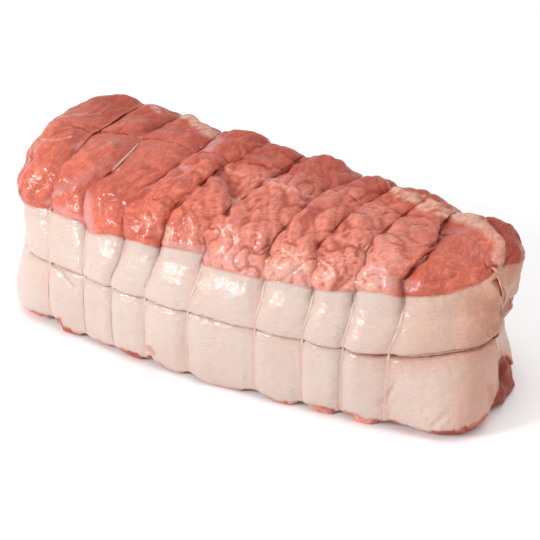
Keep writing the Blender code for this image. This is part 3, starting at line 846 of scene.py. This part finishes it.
def paint_fat(points, f):
    """The colour of the fat: warmer towards the right end, partly its own tone and partly painted
    shade, with painted shade along its edges and fold.
    """
    x, y = points[:, 0], points[:, 1]
    above = f.up > 0
    # Warmer and darker towards the right end: partly the fat's own tone, partly painted shade.
    fat = tinted(FAT_CREAM, ease(80, 135, x) * np.where(above, 0.75, 0.2), FAT_TAN_AND_SHADE)
    low = mixed(ease(0, 12, y), 0.35, 1)
    fat = tinted(fat, ease(126, 142, x) * np.where(above, 1, low), FAT_END_TONE_AND_SHADE)
    fat = tinted(fat, 0.4 * ease(136, 146, x), FAT_SHADE)
    pink = np.clip(0.3 + 0.5 * noise(points, 26, 25) + 0.5 * f.crease ** 4, 0, 1)
    fat = tinted(fat, pink * 0.8, FAT_PINK)
    line = bell(f.up, 1.1) * (np.abs(f.out[:, 2]) < 0.6)
    shade = np.maximum(line * 0.9, 0.75 * bell(f.cover, 0.9))
    shade = np.maximum(shade, 0.12 * f.crease ** 8)
    shade = np.maximum(shade, strokes(f.u, f.v, SHADE_MARKS, f.wander) * f.seen)
    fat = tinted(fat, shade, FAT_SHADE)
    below = ease(-14, -1, f.up) * (f.up < 0)
    fat = tinted(fat, 0.35 * (below * f.wedge), FAT_SHADE)
    # Painted light: the lower band is made lighter towards the right end.
    fat = fat * (1 + 0.1 * ease(95, 130, x) * (f.up < 0))[:, None]
    # Painted shade: the crevice of the fold's wedge on the right takes the dark lean colour.
    return tinted(fat, f.crevice * f.wedge, LEAN_SHADE_AND_GRAIN) * FAT_DIM


# Node helpers
def new_material(name):
    material = bpy.data.materials.new(name)
    material.use_nodes = True
    return material, material.node_tree, material.node_tree.nodes["Principled BSDF"]


def feed(tree, node, inputs):
    """Links or sets a node's inputs, named by socket, or by number as n0, n1."""
    for name, value in inputs.items():
        wanted = name.replace("_", " ").lower()
        socket = (node.inputs[int(name[1:])] if name[0] == "n" and name[1:].isdigit()
                  else next(s for s in node.inputs if s.name.lower() == wanted and s.enabled))
        if isinstance(value, bpy.types.NodeSocket):
            tree.links.new(value, socket)
        else:
            socket.default_value = value


def add(tree, kind, settings=None, **inputs):
    made = tree.nodes.new("ShaderNode" + kind)
    for name, value in (settings or {}).items():
        setattr(made, name, value)
    feed(tree, made, inputs)
    return made


def attribute(tree, name, output="Fac"):
    return add(tree, "Attribute", {"attribute_name": name}).outputs[output]


def math_node(tree, operation, first, second):
    return add(tree, "Math", {"operation": operation}, n0=first, n1=second).outputs[0]


def ramp(tree, value, low, high, to_low=0, to_high=1):
    return add(tree, "MapRange", {"interpolation_type": "SMOOTHSTEP"}, n0=value, n1=low, n2=high,
               n3=to_low, n4=to_high).outputs[0]


def mix_colour(tree, share, first, second):
    return add(tree, "Mix", {"data_type": "RGBA"}, n0=share, n6=first, n7=second).outputs[2]


def mix_value(tree, share, first, second):
    return add(tree, "Mix", {"data_type": "FLOAT"}, n0=share, n2=first, n3=second).outputs[0]


def rgba(colour):
    return (*[float(c) for c in colour], 1)


def texture(tree, scale, turn=0, detail=2, roughness=0.5, distortion=0):
    """Noise on axes turned about Z, with its scale along each of them to the millimetre."""
    vector = add(tree, "Mapping", Vector=add(tree, "TexCoord").outputs["Object"],
                 Rotation=(0, 0, math.radians(turn)), Scale=[s / MM for s in scale]).outputs[0]
    return add(tree, "TexNoise", Vector=vector, Scale=1, Detail=detail, Roughness=roughness,
               Distortion=distortion).outputs["Fac"]


def bumped(tree, height, strength, depth):
    return add(tree, "Bump", Strength=strength, Distance=depth * MM, Height=height).outputs[0]


def meat_material():
    material, tree, shader = new_material("veal")
    fine = texture(tree, (0.5, 0.5, 0.5), detail=3)
    mottle = texture(tree, (0.16, 0.16, 0.16), 0, 3, 0.6)
    wrinkle = texture(tree, (0.33, 0.33, 0.85), 0, 4, 0.6, 0.8)
    patch = ramp(tree, texture(tree, (0.04, 0.04, 0.04)), 0.4, 0.6)
    fibre = mix_value(tree, patch, texture(tree, (0.8, 0.2, 0.5), -30, 3, 0.6, 0.8),
                      texture(tree, (0.7, 0.24, 0.5), 35, 3, 0.6, 0.8))
    edge = math_node(tree, "MULTIPLY", math_node(tree, "SUBTRACT", fine, 0.5), 1.6)
    on_fat = ramp(tree, math_node(tree, "ADD", attribute(tree, "cover"), edge), -0.15, 0.25)

    lean = attribute(tree, "lean", "Color")
    # The fibres' dark streaks are their grain; the light streaks are partly pale grain and partly
    # painted glints.
    for share, colour in ((ramp(tree, fibre, 0.36, 0.58, 0.34, 0), LEAN_SHADE_AND_GRAIN),
                          (ramp(tree, fibre, 0.58, 0.78, 0, 0.3), PALE_AND_GLINT_COLOUR),
                          (math_node(tree, "MULTIPLY", attribute(tree, "film_and_glint"), 0.6),
                           FILM_AND_GLINT_COLOUR)):
        lean = mix_colour(tree, share, lean, rgba(LEAN_DIM * colour))
    fat = mix_colour(tree, ramp(tree, mottle, 0.45, 0.75, 0, 0.35),
                     attribute(tree, "fat", "Color"), rgba(FAT_DIM * FAT_PINK))

    lean_height = math_node(tree, "ADD", math_node(tree, "MULTIPLY", fibre, 1.2),
                            math_node(tree, "MULTIPLY", fine, 0.35))
    height = mix_value(tree, on_fat, lean_height, math_node(tree, "MULTIPLY", wrinkle, 1.2))
    rough = mix_value(tree, on_fat, ramp(tree, fine, 0.3, 0.7, 0.4, 0.6),
                      ramp(tree, mottle, 0.3, 0.7, 0.42, 0.58))
    feed(tree, shader, {
        "Base Color": mix_colour(tree, on_fat, lean, fat), "Roughness": rough, "IOR": 1.4,
        "Specular IOR Level": 0.25, "Normal": bumped(tree, height, 0.7, 0.9),
        "Coat Weight": attribute(tree, "wet"), "Coat Roughness": 0.08,
        "Coat Normal": bumped(tree, height, 0.2, 0.9), "Subsurface Weight": 0.3,
        "Subsurface Radius": (1, 0.45, 0.3), "Subsurface Scale": 2 * MM})
    return material


def twine_material():
    material, tree, shader = new_material("twine")
    hair = texture(tree, (2.5, 2.5, 2.5), 0, 4, 0.7)
    cream, stained = rgba(TWINE_DIM * TWINE_CREAM), rgba(TWINE_DIM * TWINE_STAINED)
    colour = mix_colour(tree, attribute(tree, "stain"), cream, stained)
    feed(tree, shader, {
        "Base Color": mix_colour(tree, ramp(tree, hair, 0.35, 0.65, 0, 0.35), colour, stained),
        "Normal": bumped(tree, hair, 0.5, 0.15), "Roughness": 0.6, "Subsurface Weight": 0.15,
        "Subsurface Scale": 0.5 * MM})
    return material


# Meshes
def link(name, data):
    made = bpy.data.objects.new(name, data)
    bpy.context.collection.objects.link(made)
    return made


def make_object(name, points, faces, material):
    mesh = bpy.data.meshes.new(name)
    mesh.from_pydata((points * MM).tolist(), [], faces.tolist())
    mesh.shade_smooth()
    mesh.materials.append(material)
    return link(name, mesh)


def give(made, name, values):
    """Stores a number or a colour at each point of a mesh."""
    kind, part = "FLOAT", "value"
    if values.ndim > 1:
        kind, part, values = "FLOAT_COLOR", "color", np.insert(values, 3, 1, axis=1)
    values = values.astype(np.float32).ravel()
    made.data.attributes.new(name, kind, "POINT").data.foreach_set(part, values)


# Twine
RING_STEP, LAY_LENGTH, PLIES, AROUND = 0.6, 4.6, 3, 12
SMOOTHING, OVER_REACH, OVER_GAP = 30, 2.6, 0.1
PLY_VALLEY, PLY_RISE, PLY_POWER = 0.86, 0.16, 0.7
# How deep the strand sinks into fat, into lean, where it lies bare, and at the roast's ends
SINK_FAT, SINK_LEAN, SINK_BARE, SINK_END = 0.75, 0.9, 0.45, 1


def evenly(line, step):
    """Points the same distance apart along a closed line."""
    closed = np.concatenate([line, line[:1]])
    gone = np.concatenate([[0], np.cumsum(np.linalg.norm(np.diff(closed, axis=0), axis=1))])
    at = np.linspace(0, gone[-1], int(round(gone[-1] / step)), endpoint=False)
    return np.stack([np.interp(at, gone, closed[:, axis]) for axis in range(3)], axis=1)


def smoothed(line, times):
    for _ in range(times):
        line = (np.roll(line, 1, axis=0) + 2 * line + np.roll(line, -1, axis=0)) / 4
    return line


def make_strand(name, ring, around, sideways, crossings, material, replaced):
    """One closed strand in the trough through ring, whose points lie in the order of around."""
    route = smoothed(evenly(ring[np.argsort(around)], RING_STEP), SMOOTHING)
    along = unit(np.roll(route, -1, axis=0) - np.roll(route, 1, axis=0))
    outer = unit(np.cross(along, sideways))
    if ((route - route.mean(axis=0)) * outer).sum() < 0:
        outer = -outer
    side = np.cross(along, outer)
    bare, on_lean = shows(route)
    sink = mixed(on_lean, SINK_FAT, SINK_LEAN)
    sink = mixed(ease(HALF_LENGTH - 16, HALF_LENGTH - 10, np.abs(route[:, 0])), sink, SINK_END)
    sink = mixed(bare, sink, SINK_BARE)
    lift = np.zeros(len(route))
    for place in crossings:
        apart = np.linalg.norm(route - place, axis=1)
        lift = np.maximum(lift, (TWINE + OVER_GAP) * np.exp(-(apart / OVER_REACH) ** 4))
    route = route + outer * smoothed(TWINE / 2 - sink + lift, 6)[:, None]
    count = len(route)
    turns = round(count * RING_STEP / LAY_LENGTH)
    angle = np.linspace(0, 2 * np.pi, AROUND, endpoint=False)
    radius = PLY_VALLEY + PLY_RISE * np.abs(np.cos(angle * PLIES / 2)) ** PLY_POWER
    radius *= TWINE / 2
    twist = angle + (2 * np.pi * turns * np.arange(count) / count)[:, None]
    points = (route[:, None] + (radius * np.cos(twist))[:, :, None] * outer[:, None]
              + (radius * np.sin(twist))[:, :, None] * side[:, None]).reshape(-1, 3)
    number = np.arange(count * AROUND).reshape(count, AROUND)
    ahead, beside = np.roll(number, -1, axis=0), np.roll(number, -1, axis=1)
    both = np.roll(ahead, -1, axis=1)
    faces = np.stack([number, beside, both, ahead], axis=-1).reshape(-1, 4)
    flat = outward(points, faces)
    if ((points - np.repeat(route, AROUND, axis=0)) * flat).sum() < 0:
        faces = faces[:, ::-1]
    made = make_object(name, points, faces, material)
    bare, on_lean = shows(points)
    give(made, "stain", np.clip(on_lean * (1 - 0.75 * bare) + 0.12 * noise(points, 12, 30), 0, 1))
    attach(made, "root")
    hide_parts(replaced)


def shows(points):
    """Where the twine lies open on the lean, and where it lies on lean at all."""
    u, v = photo_places(points)
    on_lean = np.maximum(ease(-1, 3, above_line(u, v, RIM_LINE)),
                         ease(RIM + 2, RIM + 8, points[:, 2]))
    return strokes(u, v, BARE_MARKS, 0) * ease(RIM, RIM + 6, points[:, 2]), on_lean


# Stage

# Half the floor's side, then in metres the height that the lamps aim at, their place and size
FLOOR, FLOOR_COLOUR, SKY, AIM_HEIGHT = 6000, (0.93, 0.93, 0.93, 1), 0.78, 0.05
LAMPS = (("key", (-0.6, -1, 0.62), 0.3, 10.5), ("fill", (0.3, -0.1, 1.5), 1, 7.5))


def make_camera():
    data = bpy.data.cameras.new("camera")
    data.sensor_width = SENSOR
    data.lens = FOCAL_PX / PHOTO_PX * SENSOR
    data.shift_x = -(PRINCIPAL[0] - PHOTO_PX / 2) / PHOTO_PX
    data.shift_y = (PRINCIPAL[1] - PHOTO_PX / 2) / PHOTO_PX
    camera = link("camera", data)
    camera.location = (TARGET + view_axes()[0] * DISTANCE) * MM
    camera.rotation_euler = (math.radians(90 - ELEVATION), 0, math.radians(AZIMUTH))
    bpy.context.scene.camera = camera


def make_light(name, place, size, power):
    data = bpy.data.lights.new(name, "AREA")
    data.shape = "SQUARE"
    data.size = size
    data.energy = power
    light = link(name, data)
    light.location = place
    aim = -light.location
    aim.z += AIM_HEIGHT
    light.rotation_euler = aim.to_track_quat("-Z", "Y").to_euler()


def make_stage():
    material, tree, shader = new_material("floor")
    feed(tree, shader, {"Base Color": FLOOR_COLOUR, "Roughness": 0.9})
    corners = FLOOR * np.array([(-1, -1, 0), (1, -1, 0), (1, 1, 0), (-1, 1, 0)])
    floor = make_object("floor", corners, np.array([[0, 1, 2, 3]]), material)
    world = bpy.context.scene.world or bpy.data.worlds.new("world")
    bpy.context.scene.world = world
    world.use_nodes = True
    feed(world.node_tree, world.node_tree.nodes["Background"],
         {"Color": (1, 1, 1, 1), "Strength": SKY})
    bpy.context.scene.view_settings.view_transform = "Standard"
    for lamp in LAMPS:
        make_light(*lamp)


def build():
    for old in list(bpy.data.objects):
        if old.type in ("LIGHT", "CAMERA"):
            bpy.data.objects.remove(old, do_unlink=True)
    make_camera()
    make_stage()
    points, faces, trough, station, across, f = make_body()
    lean, film_and_glint, wet = paint_lean(points, f)
    body = make_object("meat", points, faces, meat_material())
    for name, values in (("lean", lean), ("fat", paint_fat(points, f)), ("film_and_glint", film_and_glint),
                         ("cover", f.cover), ("wet", wet)):
        give(body, name, values)
    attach(body, "root")
    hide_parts("veal")

    material = twine_material()
    height, crossings = f.level / TOP * 2 - 1, []
    for loop in range(1, LOOPS + 1):
        n = np.flatnonzero(np.abs(station - loop) < NEAR)
        make_strand(f"twine_{loop}", trough[n], np.arctan2(height[n], across[n]), (1, 0, 0), (),
                    material, f"loop_{loop}")
        crossings.extend(trough[n[np.abs(across[n]) < NEAR]])
    n = np.flatnonzero(np.abs(across) < NEAR)
    ahead = station[n] / (LOOPS + 1) * 2 - 1
    make_strand("twine_along", trough[n], np.arctan2(height[n], ahead), (0, 1, 0), crossings,
                material, "lengthwise")


build()
